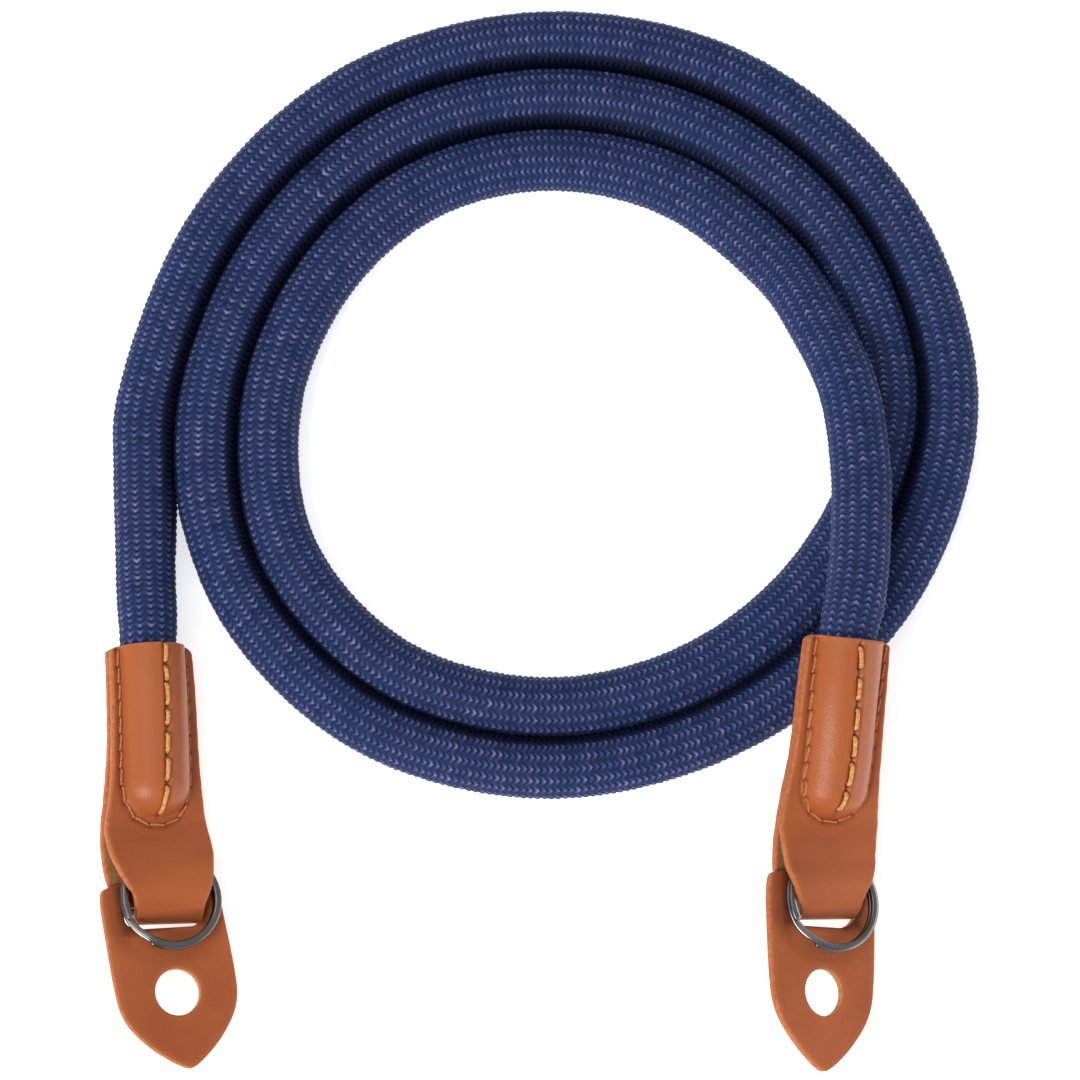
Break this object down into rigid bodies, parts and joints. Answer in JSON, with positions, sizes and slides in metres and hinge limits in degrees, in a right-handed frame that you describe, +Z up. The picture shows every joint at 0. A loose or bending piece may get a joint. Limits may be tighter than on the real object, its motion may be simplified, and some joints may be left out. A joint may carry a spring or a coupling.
{
  "type": "rope camera strap",
  "caption": "Braided rope camera strap laid in a loose coil, with a leather tab, split ring and leather protector pad on each end.",
  "frame": {"origin": "on the surface the strap lies on, under the middle of the six end fittings", "axes": "+Z up from the surface, +X from the left fittings to the right ones, +Y from the pads towards the coil"},
  "size_m": [0.1405, 0.1738, 0.0224],
  "materials": {
    "rope": "braided navy nylon with a soft sheen",
    "leather": "smooth tan brown full grain leather, raw suede inside",
    "ring": "dark gunmetal plated spring steel, polished"
  },
  "bodies": {
    "root": {"rope": "rope", "left_tab": "leather", "left_ring": "ring", "left_pad": "leather", "right_tab": "leather", "right_ring": "ring", "right_pad": "leather"}
  },
  "joints": []
}
